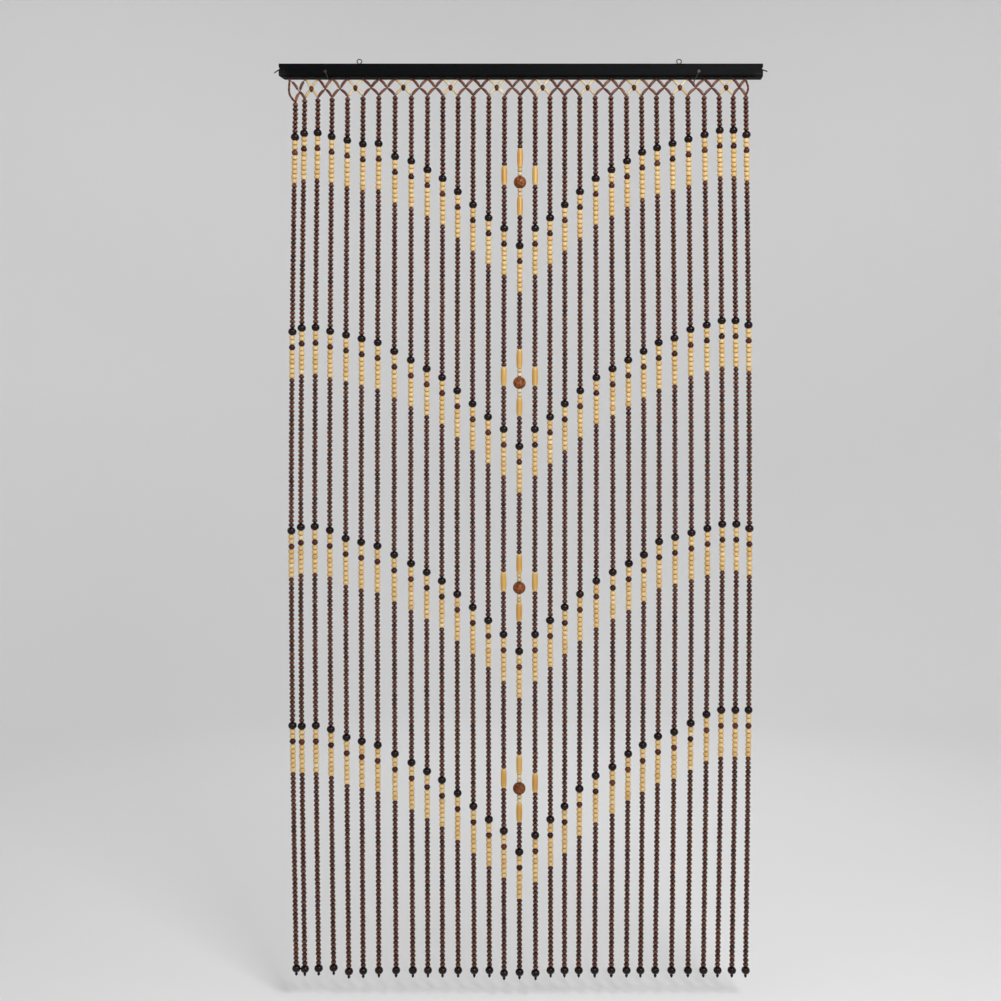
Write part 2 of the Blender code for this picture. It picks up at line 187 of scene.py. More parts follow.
def smooth_path(knots: np.ndarray, steps: int) -> np.ndarray:
    """Carry a smooth curve through points, with even steps along its length.

    Between two points the curve is the cubic that leaves each of them parallel to the line
    between that point's neighbours.

    Args:
        knots: points by knot and axis.
        steps: points wanted.

    Returns:
        Points by step and axis.
    """
    before = np.vstack([2 * knots[0] - knots[1], knots[:-1]])
    after = np.vstack([knots[1:], 2 * knots[-1] - knots[-2]])
    slope = (after - before) / 2
    place = np.linspace(0, len(knots) - 1, 24 * len(knots))
    low = np.minimum(place.astype(int), len(knots) - 2)
    part = (place - low)[:, None]
    curve = (
        knots[low] * (2 * part**3 - 3 * part**2 + 1)
        + slope[low] * (part**3 - 2 * part**2 + part)
        + knots[low + 1] * (3 * part**2 - 2 * part**3)
        + slope[low + 1] * (part**3 - part**2)
    )
    run = run_along(curve)
    even = np.linspace(0, run[-1], steps)
    return np.stack([np.interp(even, run, curve[:, axis]) for axis in range(3)], axis=1)


def round_tip(path: np.ndarray, radius: float) -> np.ndarray:
    """Give radii that round off the far end of a wire as half a ball.

    Within one radius of the end, the radius is the circle's height there, and it never goes
    under a sixth so that the last face has a size.

    Args:
        path: points by step and axis.
        radius: the radius along the rest.

    Returns:
        A radius for each step.
    """
    run = run_along(path)
    inside = np.clip(1 - (run[-1] - run) / radius, 0, 1)
    return radius * np.maximum(np.sqrt(1 - inside**2), 1 / 6)


# Finishes


def linear(hex_colour: str) -> tuple[float, float, float, float]:
    """Turn an sRGB hex colour into Blender's linear colour.

    Args:
        hex_colour: six hex digits after a #.

    Returns:
        Red, green, blue and 1.
    """
    parts = [int(hex_colour[at : at + 2], 16) / 255 for at in (1, 3, 5)]
    return (*(p / 12.92 if p <= 0.04045 else ((p + 0.055) / 1.055) ** 2.4 for p in parts), 1.0)


def add_node(
    tree: bpy.types.NodeTree,
    kind: str,
    inputs: dict[Any, Any] | None = None,
    stops: Iterable[tuple[float, str]] = (),
    **settings: Any,
) -> bpy.types.Node:
    """Add a node with its settings, values and links.

    Args:
        tree: the node tree.
        kind: Blender's name for the node's type, without its ShaderNode prefix.
        inputs: by the input's name or number, an output to link to it or a value to set.
        stops: for a colour ramp, its places and hex colours.
        settings: the node's properties.

    Returns:
        The new node.
    """
    node = tree.nodes.new("ShaderNode" + kind)
    for key, value in settings.items():
        setattr(node, key, value)
    for place, (position, colour) in enumerate(stops):
        elements = node.color_ramp.elements
        element = elements[place] if place < len(elements) else elements.new(position)
        element.position, element.color = position, linear(colour)
    for key, value in (inputs or {}).items():
        if isinstance(value, bpy.types.NodeSocket):
            tree.links.new(value, node.inputs[key])
        else:
            node.inputs[key].default_value = value
    return node


@dataclass(frozen=True)
class Finish:
    """What all finishes have: a name, a record slot, and values that are even all over."""

    name: str
    slot: str
    roughness: float = 0.5
    ior: float = 1.5
    specular: float = 0.5
    metallic: float = 0.0

    def material(self) -> bpy.types.Material:
        """Make the material, or return it if it has been made.

        Returns:
            The material with its nodes.
        """
        if self.name in bpy.data.materials:
            return bpy.data.materials[self.name]
        material = bpy.data.materials.new(self.name)
        material.use_nodes = True
        tree = material.node_tree
        shader = tree.nodes["Principled BSDF"]
        shader.inputs["Roughness"].default_value = self.roughness
        shader.inputs["Metallic"].default_value = self.metallic
        if self.metallic == 0.0:
            shader.inputs["IOR"].default_value = self.ior
            shader.inputs["Specular IOR Level"].default_value = self.specular
        self.paint(tree, shader)
        return material

    def paint(self, tree: bpy.types.NodeTree, shader: bpy.types.Node) -> None:
        """Add the finish's pattern to its shader. Each finish has its own."""
        raise NotImplementedError

    def grain(
        self, tree: bpy.types.NodeTree, size: tuple[float, float, float], **inputs: Any
    ) -> bpy.types.NodeSocket:
        """Noise drawn out along the axes, on Object coordinates.

        Args:
            tree: the node tree.
            size: length of one patch along X, Y and Z, in metres.
            inputs: values for the noise, such as Detail, and Offset for an output that moves it.

        Returns:
            The noise's output, 0 to 1 and mostly near a half.
        """
        place = add_node(tree, "TexCoord").outputs["Object"]
        offset = inputs.pop("Offset", (0.0, 0.0, 0.0))
        per_metre = tuple(1 / length for length in size)
        scaled = add_node(
            tree, "VectorMath", {0: place, 1: per_metre, 2: offset}, operation="MULTIPLY_ADD"
        )
        noise = {"Vector": scaled.outputs[0], "Scale": 1.0, "Detail": 3.0, **inputs}
        return add_node(tree, "TexNoise", noise).outputs["Fac"]


@dataclass(frozen=True)
class BeadWood(Finish):
    """Turned wood, stained or bare, tumbled in varnish.

    The wood shows as streaks along the bead and as a different tone from bead to bead. The
    varnish gives a soft white light over them. The rim colour towards the holes is painted
    shade where beads meet on most finishes, and pale cut ends on the bamboo. Real grain is
    finer than these streaks, which are as wide as they need to be to show.
    """

    tones: tuple[tuple[float, str], ...] = ((0.0, "#3a1a12"), (1.0, "#6a3524"))
    # Colour towards the holes: painted shade where beads meet on the stained and yellow woods, pale
    # cut ends on the bamboo; the blotches use it too
    rim: str = "#120504"
    rim_share: float = 0.75
    grain_width: float = 0.9 * MM
    grain_length: float = 9.0 * MM
    grain_share: float = 0.45
    grain_span: tuple[float, float] = (0.42, 0.68)
    streak: str = "#2a1108"
    mottle_size: float = 5.0 * MM
    mottle_share: float = 0.25
    mottle_span: tuple[float, float] = (0.45, 0.62)
    relief: float = 0.04 * MM
    # Moves the noise by the bead's tone, so that no two beads have the same grain
    noise_shift: float = 53.0

    def paint(self, tree: bpy.types.NodeTree, shader: bpy.types.Node) -> None:
        """Tone by bead, streaks and blotches in the wood, and a rim colour at each hole: painted
        shade where beads meet, except the pale cut ends of the bamboo.

        Args:
            tree: the material's node tree.
            shader: its principled shader.
        """
        tone = add_node(tree, "Attribute", attribute_name="tone").outputs["Fac"]
        rim = add_node(tree, "Attribute", attribute_name="rim").outputs["Fac"]
        base = add_node(tree, "ValToRGB", {"Fac": tone}, self.tones).outputs["Color"]
        moved = {0: tone, 1: self.noise_shift}
        apart = add_node(tree, "Math", moved, operation="MULTIPLY").outputs[0]
        size = (self.grain_width, self.grain_width, self.grain_length)
        streaks = self.grain(tree, size, Offset=apart, Roughness=0.6, Distortion=0.6)
        blotches = self.grain(tree, (self.mottle_size,) * 3, Offset=apart, Detail=2.0)
        colour = base
        for curve, value, span, most, over in (
            ("SMOOTHSTEP", streaks, self.grain_span, self.grain_share, self.streak),
            ("SMOOTHSTEP", blotches, self.mottle_span, self.mottle_share, self.rim),
            # Painted shade on most finishes: the rim colour darkens each bead towards its holes,
            # where it meets the next; the bamboo's rim is its pale cut ends
            ("LINEAR", rim, (0.0, 1.0), self.rim_share, self.rim),
        ):
            levels = {0: value, 1: span[0], 2: span[1], 3: 0.0, 4: most}
            share = add_node(tree, "MapRange", levels, interpolation_type=curve).outputs[0]
            mixed = {0: share, 6: colour, 7: linear(over)}
            colour = add_node(tree, "Mix", mixed, data_type="RGBA").outputs[2]
        tree.links.new(colour, shader.inputs["Base Color"])
        height = {"Height": streaks, "Strength": 0.5, "Distance": self.relief}
        tree.links.new(add_node(tree, "Bump", height).outputs[0], shader.inputs["Normal"])


@dataclass(frozen=True)
class BlackPaint(Finish):
    """Satin black paint brushed on pine.

    The brush leaves faint lines along the bar, and the colour turns a lighter grey in patches low
    on its ends.
    """

    thin: str = "#0a0b0d"
    thick: str = "#040506"
    # A lighter grey painted in patches low on the bar's ends
    grey_patch_tone: str = "#2e2c2c"
    brush_width: float = 1.2 * MM
    brush_length: float = 80.0 * MM
    grey_patch_from: float = 440.0 * MM
    grey_patch_to: float = 462.0 * MM
    grey_patch_below: float = -9.0 * MM
    spot_size: tuple[float, float, float] = (5 * MM, 3 * MM, 2.5 * MM)
    spot_span: tuple[float, float] = (0.47, 0.56)
    grey_patch_share: float = 0.9
    gloss_swing: tuple[float, float] = (-0.08, 0.1)
    relief: float = 0.06 * MM

    def paint(self, tree: bpy.types.NodeTree, shader: bpy.types.Node) -> None:
        """Brush lines in colour and height, and lighter grey patches low on the bar's ends.

        Args:
            tree: the material's node tree.
            shader: its principled shader.
        """
        size = (self.brush_length, self.brush_width, self.brush_width)
        brush = self.grain(tree, size, Roughness=0.55)
        ramp = ((0.3, self.thick), (0.7, self.thin))
        base = add_node(tree, "ValToRGB", {"Fac": brush}, ramp).outputs["Color"]
        place = add_node(tree, "TexCoord").outputs["Object"]
        axes = add_node(tree, "SeparateXYZ", {0: place})
        out = add_node(tree, "Math", {0: axes.outputs[0]}, operation="ABSOLUTE").outputs[0]
        spots = self.grain(tree, self.spot_size, Detail=5.0, Roughness=0.7)
        # Where the lighter grey is painted: low on both ends of the bar, broken into spots
        grey_patch = self.grey_patch_share
        for value, start, stop in (
            (out, self.grey_patch_from, self.grey_patch_to),
            (axes.outputs[2], self.grey_patch_below, 2 * self.grey_patch_below),
            (spots, *self.spot_span),
        ):
            levels = {0: value, 1: start, 2: stop, 3: 0.0, 4: 1.0}
            part = add_node(tree, "MapRange", levels, interpolation_type="SMOOTHSTEP").outputs[0]
            grey_patch = add_node(tree, "Math", {0: grey_patch, 1: part}, operation="MULTIPLY").outputs[0]
        mixed = {0: grey_patch, 6: base, 7: linear(self.grey_patch_tone)}
        colour = add_node(tree, "Mix", mixed, data_type="RGBA").outputs[2]
        tree.links.new(colour, shader.inputs["Base Color"])
        low, high = (self.roughness + swing for swing in self.gloss_swing)
        rough = {0: brush, 1: 0.3, 2: 0.7, 3: low, 4: high}
        tree.links.new(add_node(tree, "MapRange", rough).outputs[0], shader.inputs["Roughness"])
        height = {"Height": brush, "Strength": 0.6, "Distance": self.relief}
        tree.links.new(add_node(tree, "Bump", height).outputs[0], shader.inputs["Normal"])


@dataclass(frozen=True)
class DullSteel(Finish):
    """Zinc-plated steel wire that has gone dull: grey with darker clouds and no mirror."""

    bright: str = "#504d4b"
    dark: str = "#262423"
    cloud_size: float = 2.2 * MM
    gloss_swing: tuple[float, float] = (0.15, -0.08)

    def paint(self, tree: bpy.types.NodeTree, shader: bpy.types.Node) -> None:
        """Clouds in colour and roughness.

        Args:
            tree: the material's node tree.
            shader: its principled shader.
        """
        clouds = self.grain(tree, (self.cloud_size,) * 3, Detail=4.0, Roughness=0.65)
        ramp = ((0.35, self.dark), (0.62, self.bright))
        colour = add_node(tree, "ValToRGB", {"Fac": clouds}, ramp).outputs["Color"]
        tree.links.new(colour, shader.inputs["Base Color"])
        dull, smooth = (self.roughness + swing for swing in self.gloss_swing)
        rough = {0: clouds, 1: 0.3, 2: 0.7, 3: dull, 4: smooth}
        tree.links.new(add_node(tree, "MapRange", rough).outputs[0], shader.inputs["Roughness"])


@dataclass(frozen=True)
class TwistedCord(Finish):
    """Waxed cotton cord: strands laid round each other, with painted shade in the grooves between
    them.
    """

    # groove is painted shade in the grooves between strands; crown is the cord's own colour
    groove: str = "#26110a"
    crown: str = "#6a3c26"
    fibre_size: float = 0.35 * MM
    fibre_share: float = 0.5
    relief: float = 0.1 * MM

    def paint(self, tree: bpy.types.NodeTree, shader: bpy.types.Node) -> None:
        """Strands by the piece's own lay, with painted shade in the grooves, broken up by fibres.

        Args:
            tree: the material's node tree.
            shader: its principled shader.
        """
        lay = add_node(tree, "Attribute", attribute_name="lay").outputs["Fac"]
        fibres = self.grain(tree, (self.fibre_size, self.fibre_size, 4 * self.fibre_size))
        both = {0: fibres, 1: self.fibre_share, 2: lay}
        mixed = add_node(tree, "Math", both, operation="MULTIPLY_ADD").outputs[0]
        # Painted shade: the ramp runs from the shade in the grooves up to the strands' crowns
        ramp = ((0.25, self.groove), (1.15 / 1.5, self.crown))
        colour = add_node(tree, "ValToRGB", {"Fac": mixed}, ramp).outputs["Color"]
        tree.links.new(colour, shader.inputs["Base Color"])
        height = {"Height": mixed, "Strength": 0.6, "Distance": self.relief}
        tree.links.new(add_node(tree, "Bump", height).outputs[0], shader.inputs["Normal"])


@dataclass(frozen=True)
class StudioPaper(Finish):
    """Matt pale paper of one even tone."""

    shade: str = "#efeff0"

    def paint(self, tree: bpy.types.NodeTree, shader: bpy.types.Node) -> None:
        """Set the paper's tone on the shader."""
        shader.inputs["Base Color"].default_value = linear(self.shade)


# Small beech beads tumbled in brown stain: red-brown middles, painted near black towards the holes
# as shade where the beads meet
STAINED_BROWN = BeadWood(
    "stained_brown_wood",
    "brown_beads",
    roughness=0.25,
    specular=0.35,
    tones=(
        (0.0, "#441c12"),
        (0.3, "#643422"),
        (0.6, "#744029"),
        (0.85, "#7e4a30"),
        (1.0, "#8c5838"),
    ),
    rim="#080201",
    rim_share=1.0,
)
# Long beech beads in a thinner red stain: lighter than the round ones, and streaky, with painted
# shade at their ends
NET_STAIN = BeadWood(
    "red_stained_wood",
    "brown_beads",
    roughness=0.4,
    specular=0.4,
    tones=((0.0, "#542416"), (0.4, "#703a24"), (0.75, "#844c30"), (1.0, "#9c6840")),
    rim="#230a04",
    rim_share=0.8,
    grain_length=12 * MM,
)
# Larger round beads in a deeper stain under varnish: dark, with one clear light, and painted shade
# at their ends
DEEP_BROWN = BeadWood(
    "deep_brown_wood",
    "brown_beads",
    roughness=0.24,
    specular=0.25,
    tones=((0.0, "#220c08"), (0.4, "#481f12"), (0.75, "#62301c"), (1.0, "#7e4628")),
    rim="#0d0403",
    rim_share=0.9,
)
# The largest turned beads in black lacquer: glossy, with a breath of red, and painted shade at
# their ends
LACQUERED_BLACK = BeadWood(
    "lacquered_black_wood",
    "dark_beads",
    roughness=0.15,
    specular=0.25,
    tones=((0.0, "#120507"), (0.7, "#1e0a0c"), (1.0, "#301410")),
    rim="#050203",
    streak="#070304",
)
# Bare beads under yellowed varnish: cream to honey from bead to bead, with painted golden shade
# where they meet
PALE_WOOD = BeadWood(
    "pale_varnished_wood",
    "yellow_beads",
    roughness=0.42,
    specular=0.35,
    tones=((0.0, "#d0a866"), (0.4, "#e2c083"), (0.8, "#e8cc94"), (1.0, "#f0dcb2")),
    rim="#9c7434",
    rim_share=0.75,
    streak="#bc9050",
    mottle_share=0.14,
)
# Bare beads with little varnish: paler and more matt than the yellow ones, with painted shade at
# their ends
NET_PALE_WOOD = BeadWood(
    "bleached_wood",
    "yellow_beads",
    roughness=0.5,
    specular=0.3,
    tones=((0.0, "#c4a878"), (0.5, "#dcc8a0"), (1.0, "#ecdfc4")),
    rim="#8c6a3c",
    rim_share=0.7,
    streak="#b08c58",
    grain_length=12 * MM,
    mottle_share=0.1,
)
# Cane cut in tubes and varnished: straight golden fibres, pale at the cut ends
BAMBOO = BeadWood(
    "varnished_bamboo",
    "yellow_beads",
    roughness=0.34,
    specular=0.4,
    tones=((0.0, "#c88f3c"), (0.5, "#cfa150"), (1.0, "#d6b668")),
    rim="#e6cf98",
    rim_share=0.6,
    streak="#9c6426",
    grain_width=0.8 * MM,
    grain_length=40 * MM,
    grain_share=0.5,
    mottle_share=0.0,
)
# Balls turned from a red wood: bold open grain that runs round them, and painted shade at their
# holes
TURNED_BALL = BeadWood(
    "turned_red_wood",
    "ball_wood",
    roughness=0.42,
    specular=0.25,
    tones=((0.0, "#884a20"), (0.5, "#985226"), (1.0, "#a86230")),
    rim="#32130a",
    rim_share=0.85,
    streak="#45200f",
    grain_width=2.2 * MM,
    grain_length=9 * MM,
    grain_share=0.8,
    mottle_size=5 * MM,
    mottle_share=0.6,
    relief=0.15 * MM,
)
# Satin paint on the bar: black, with only a faint sheen
SATIN_BLACK = BlackPaint("satin_black_paint", "black_paint", roughness=0.55, specular=0.05)
# Zinc-plated wire that has gone dull: grey, not bright
ZINC = DullSteel("dull_zinc_steel", "zinc_steel", roughness=0.55, metallic=1.0)
# Waxed brown cord, matt, with painted shade in its grooves
HEAD_CORD = TwistedCord("waxed_brown_cord", "brown_cord", roughness=0.8, specular=0.3)
# The strings' own cord, waxed near black, with painted shade in its grooves
END_CORD = TwistedCord(
    "waxed_black_cord", "dark_beads", roughness=0.6, specular=0.3, groove="#050304", crown="#16100f"
)
# Matt backdrop paper
PAPER = StudioPaper("studio_paper", "", roughness=0.95, specular=0.1)


def hand_over(piece: bpy.types.Object, finish: Finish, *nodes: str) -> None:
    """Dress a finished piece and let it ride on the curtain's only body.

    Args:
        piece: the mesh object, in place.
        finish: its finish.
        nodes: the frame's nodes that it stands for.
    """
    piece.data.materials.append(finish.material())
    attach(piece, "root")
    if nodes:
        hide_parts(*nodes)
    LOG.info("%s: %d faces, %s", piece.name, len(piece.data.polygons), finish.name)


# Beads


class Kind(Enum):
    """The kinds of bead on the curtain."""

    BROWN = "brown"
    YELLOW = "yellow"
    SMALL_YELLOW = "small_yellow"
    MEDIUM = "medium"
    DARK = "dark"
    TUBE = "tube"
    BALL = "ball"
    NET_BROWN = "net_brown"
    NET_PALE = "net_pale"
    NET_CENTRE = "net_centre"


@dataclass(frozen=True)
class Bead:
    """One kind of turned bead.

    pitch is what it takes up along its string, fullness bends its outline from a ball (1) to a
    tube (near 0), and hole is the radius at its flat ends as a part of its own. The higher
    rim_power, the nearer to its ends the rim colour starts to show; on most finishes that is
    painted shade where beads meet.
    """

    pitch: float
    length: float
    radius: float
    finish: Finish
    fullness: float
    hole: float
    rings: int
    sides: int
    spread: float = 0.03
    tilt: float = math.radians(2.5)
    rim_power: float = 5.0
    # The two powers of the beta curve that tones are drawn from: mostly middling, a few extreme
    tone_powers: tuple[float, float] = (2.2, 2.6)

    def outline(self) -> tuple[np.ndarray, np.ndarray]:
        """Work out the turned outline.

        The radius is the bead's radius times cos(angle) to the power of its fullness, and the
        place along it follows sin(angle), up to the angle where the flat ends start.

        Returns:
            The place along the bead from its middle, and the radius, for each ring.
        """
        end = math.acos(self.hole ** (1 / self.fullness))
        angle = np.linspace(-end, end, self.rings)
        along = self.length / 2 * np.sin(angle) / math.sin(end)
        return along, self.radius * np.cos(angle) ** self.fullness

    def strung(
        self,
        centres: np.ndarray,
        axes: np.ndarray,
        rng: np.random.Generator,
        bow: np.ndarray | float = 0.0,
    ) -> Shell:
        """Copy the bead to many places as one shell.

        A point is the bead's centre, plus its place along the bead's axis, plus the radius times
        cos and sin of its angle along the two directions square to that axis. Each bead has a
        small tilt, turn and difference in size of its own. A bent bead's middle is moved by its
        bow, which falls to nothing at the ends with the square of the place along it.

        Args:
            centres: a centre for each bead.
            axes: the string's direction at each bead.
            rng: the source of the small differences.
            bow: how far and which way each bead's middle is bent, by bead and axis.

        Returns:
            The shell, with tone by bead, and rim from 0 at a bead's middle to 1 at its ends.
        """
        count = len(centres)
        lean = rng.normal(0, self.tilt, (count, 3))
        axis = unit(axes + lean)
        first = unit(np.cross(np.broadcast_to(DEPTH, axis.shape), axis))
        second = np.cross(axis, first)
        along, radius = self.outline()
        turn = rng.uniform(0, math.tau, (count, 1))
        angle = turn + turns(self.sides)
        ring = (
            np.cos(angle)[..., None] * first[:, None] + np.sin(angle)[..., None] * second[:, None]
        )
        size = 1 + rng.uniform(-self.spread, self.spread, (count, 1, 1, 1))
        grid = (
            centres[:, None, None]
            + axis[:, None, None] * along[None, :, None, None]
            + ring[:, None] * radius[None, :, None, None] * size
        )
        part = 1 - (along / along[-1]) ** 2
        grid += np.broadcast_to(bow, centres.shape)[:, None, None] * part[None, :, None, None]
        tone = rng.beta(*self.tone_powers, (count, 1, 1))
        # How near each point is to its bead's end; most finishes paint shade there, where beads
        # meet
        rim = np.abs(along / along[-1])[None, :, None] ** self.rim_power
        return closed_rings(grid, tone=tone, rim=rim)


BEADS = {
    # The brown beads' rim_power of 1.3 spreads the painted shade at their ends over their outer
    # half
    Kind.BROWN: Bead(8.4 * MM, 8.3 * MM, 5.4 * MM, STAINED_BROWN, 0.8, 0.36, 7, 8, rim_power=1.3),
    Kind.YELLOW: Bead(9 * MM, 8.9 * MM, 5.8 * MM, PALE_WOOD, 0.5, 0.62, 6, 8),
    Kind.SMALL_YELLOW: Bead(8 * MM, 7.9 * MM, 4.9 * MM, NET_PALE_WOOD, 0.5, 0.6, 6, 10),
    Kind.MEDIUM: Bead(10.5 * MM, 10.4 * MM, 6.1 * MM, DEEP_BROWN, 0.85, 0.4, 8, 12),
    Kind.DARK: Bead(14 * MM, 14.2 * MM, 8.1 * MM, LACQUERED_BLACK, 0.9, 0.34, 10, 16),
    Kind.TUBE: Bead(37 * MM, 36.8 * MM, 5.7 * MM, BAMBOO, 0.16, 0.66, 12, 20, 0.02, 0.0),
    Kind.BALL: Bead(23 * MM, 22.8 * MM, 12.2 * MM, TURNED_BALL, 0.97, 0.3, 26, 44, 0.0, 0.0),
    Kind.NET_BROWN: Bead(17.5 * MM, 17.5 * MM, 2.8 * MM, NET_STAIN, 0.3, 0.5, 9, 8),
    Kind.NET_PALE: Bead(17 * MM, 17 * MM, 2.75 * MM, NET_PALE_WOOD, 0.3, 0.5, 9, 8),
    Kind.NET_CENTRE: Bead(11 * MM, 11 * MM, 4.7 * MM, DEEP_BROWN, 0.9, 0.35, 9, 14),
}


@dataclass(frozen=True)
class Wave:
    """A small unevenness from string to string: its height, turn per string and start."""

    height: float
    turn: float
    start: float

    def at(self, index: int) -> float:
        """The wave's height at a string."""
        return self.height * math.sin(self.turn * index + self.start)


@dataclass(frozen=True)
class UnevenRun:
    """Brown beads too many or too few, on the strings from first to last, above a group."""

    first: int
    last: int
    group: int
    beads: int


@dataclass(frozen=True)
class Ornament:
    """What some strings carry within a run, the brown beads it replaces and those below it."""

    beads: tuple[tuple[Kind, int], ...]
    instead: int
    below: int


@dataclass(frozen=True)
class StringPlan:
    """Where each string hangs and what is strung on it, as in the frame."""

    count: int = 31
    centre: int = 15
    centre_x: float = -3.9 * MM
    pitch: float = 29.8 * MM
    left_gaps: tuple[float, ...] = (17.7 * MM, 25.5 * MM, 27.1 * MM)
    right_gaps: tuple[float, ...] = (24.5 * MM, 26.6 * MM, 29 * MM)
    place_wave: Wave = Wave(3.25 * MM, 0.25, -1.23)
    place_ripple: Wave = Wave(1 * MM, 0.98, -0.94)
    middle_wave: Wave = Wave(1.5 * MM, 0.35, -0.77)
    foot_wave: Wave = Wave(1.6 * MM, 1.39, -3)
    spread_middle: float = 7.6 * MM
    draw_in_foot: float = 2 * MM
    hole_z: float = -18.5 * MM
    apex_z: float = -27 * MM
    top_z: float = -59 * MM
    low_tops: int = 6
    low_top_step: float = 1.15 * MM
    first_top_z: float = -72 * MM
    outer_apex_offset: float = -11.3 * MM
    foot_z: float = -1748 * MM
    foot_belly: float = 6 * MM
    knot_length: float = 7 * MM
    top_run: tuple[int, ...] = (33, 30, 27, 24, 21, 18, 16, 14, 12, 10, 10, 9, 8, 7, 7, 7)
    link_runs: tuple[int, ...] = (34, 35, 34)
    group: tuple[tuple[Kind, int], ...] = (
        (Kind.DARK, 1),
        (Kind.YELLOW, 2),
        (Kind.MEDIUM, 1),
        (Kind.YELLOW, 6),
    )
    ball_set: Ornament = Ornament(
        (
            (Kind.TUBE, 1),
            (Kind.SMALL_YELLOW, 2),
            (Kind.BALL, 1),
            (Kind.SMALL_YELLOW, 2),
            (Kind.TUBE, 1),
        ),
        instead=15,
        below=6,
    )
    tube_set: Ornament = Ornament(((Kind.TUBE, 1),), instead=4, below=9)
    uneven_runs: tuple[UnevenRun, ...] = (
        UnevenRun(7, 7, 0, 1),
        UnevenRun(14, 14, 0, -1),
        UnevenRun(16, 16, 0, -1),
        UnevenRun(24, 24, 0, 1),
        UnevenRun(30, 30, 0, 1),
        UnevenRun(0, 5, 1, -1),
        UnevenRun(7, 7, 1, -1),
        UnevenRun(24, 25, 1, -1),
        UnevenRun(26, 30, 1, -2),
        UnevenRun(0, 3, 2, -1),
        UnevenRun(24, 25, 2, -1),
        UnevenRun(0, 0, 3, -1),
        UnevenRun(14, 14, 3, -1),
        UnevenRun(19, 21, 3, -1),
        UnevenRun(22, 23, 3, -2),
        UnevenRun(24, 25, 3, -1),
        UnevenRun(26, 26, 3, -2),
        UnevenRun(27, 29, 3, -3),
        UnevenRun(30, 30, 3, -4),
    )

    def x(self, index: int) -> float:
        """A string's place: nearly even in the middle, closer at both sides."""
        first_even = len(self.left_gaps)
        last_even = self.count - 1 - len(self.right_gaps)
        even = min(max(index, first_even), last_even)
        place = self.centre_x + self.pitch * (even - self.centre)
        place += self.place_wave.at(even) + self.place_ripple.at(even)
        if index < first_even:
            place -= sum(self.left_gaps[index:])
        if index > last_even:
            place += sum(self.right_gaps[self.count - 1 - index :])
        return place

    def top(self, index: int) -> float:
        """The height at which a string's first bead starts: lower at the left."""
        if index == 0:
            return self.first_top_z
        return self.top_z - self.low_top_step * max(0, self.low_tops - index)

    def foot(self, index: int) -> float:
        """The lowest point of a string: the middle ones reach further down."""
        return self.foot_z - self.foot_belly * (1 - ((index - self.centre) / self.centre) ** 2)

    def length(self, beads: list[tuple[Kind, int]]) -> float:
        """The length of a list of beads along the string."""
        return sum(BEADS[kind].pitch * count for kind, count in beads)

    def recipe(self, index: int) -> list[tuple[Kind, int]]:
        """List a string's beads from the top.

        Args:
            index: the string, from 0 on the left.

        Returns:
            Pairs of kind and count.
        """
        places = abs(index - self.centre)
        beads: list[tuple[Kind, int]] = []
        for group, run in enumerate((self.top_run[places], *self.link_runs)):
            run += sum(
                row.beads
                for row in self.uneven_runs
                if row.group == group and row.first <= index <= row.last
            )
            beads += self.ornament(places, run)
            beads += self.group
        end = (Kind.DARK, 1)
        left = self.top(index) - self.foot(index) - self.knot_length - self.length([*beads, end])
        return [*beads, (Kind.BROWN, round(left / BEADS[Kind.BROWN].pitch)), end]

    def ornament(self, places: int, run: int) -> list[tuple[Kind, int]]:
        """List the run above a group, with the middle strings' ball or tube.

        Args:
            places: how many places the string is from the middle one.
            run: brown beads where there is no ornament.

        Returns:
            Pairs of kind and count.
        """
        if places > 1:
            return [(Kind.BROWN, run)]
        row = self.tube_set if places else self.ball_set
        above = run - row.instead - row.below
        return [(Kind.BROWN, above), *row.beads, (Kind.BROWN, row.below)]

    def hang(self, index: int, depth: np.ndarray) -> np.ndarray:
        """Find places on a string as it hangs.

        The string is off its straight line by half a wave over its length, which is larger for
        strings further out, plus a drift that grows with the depth to the power of one and a half.

        Args:
            index: the string.
            depth: lengths below its top.

        Returns:
            Points by depth and axis.
        """
        whole = self.length(self.recipe(index)) + self.knot_length
        part = np.clip(depth / whole, 0, 1)
        out = (index - self.centre) / self.centre
        middle = self.spread_middle * out + self.middle_wave.at(index)
        foot = self.foot_wave.at(index) - self.draw_in_foot * out
        x = self.x(index) + middle * np.sin(math.pi * part) + foot * part**1.5
        return np.stack([x, np.zeros_like(x), self.top(index) - depth], axis=1)

    def apex(self, index: int) -> np.ndarray:
        """The net's point under the bar at a string."""
        offset = self.outer_apex_offset if index == 0 else 0.0
        return np.array((self.x(index) + offset, 0.0, self.apex_z))

    def net_foot(self, index: int) -> np.ndarray:
        """The net's lowest point, where a string's beads start."""
        return np.array((self.x(index), 0.0, self.top(index)))

    def crossing(self, index: int) -> np.ndarray:
        """Where the arms between a string and the next one cross."""
        top_left, top_right = self.apex(index), self.apex(index + 1)
        foot_left, foot_right = self.net_foot(index), self.net_foot(index + 1)
        down, across = foot_right - top_left, foot_left - top_right
        sides = np.array(((down[0], -across[0]), (down[2], -across[2])))
        gap = top_right - top_left
        part = np.linalg.solve(sides, np.array((gap[0], gap[2])))[0]
        return top_left + part * down


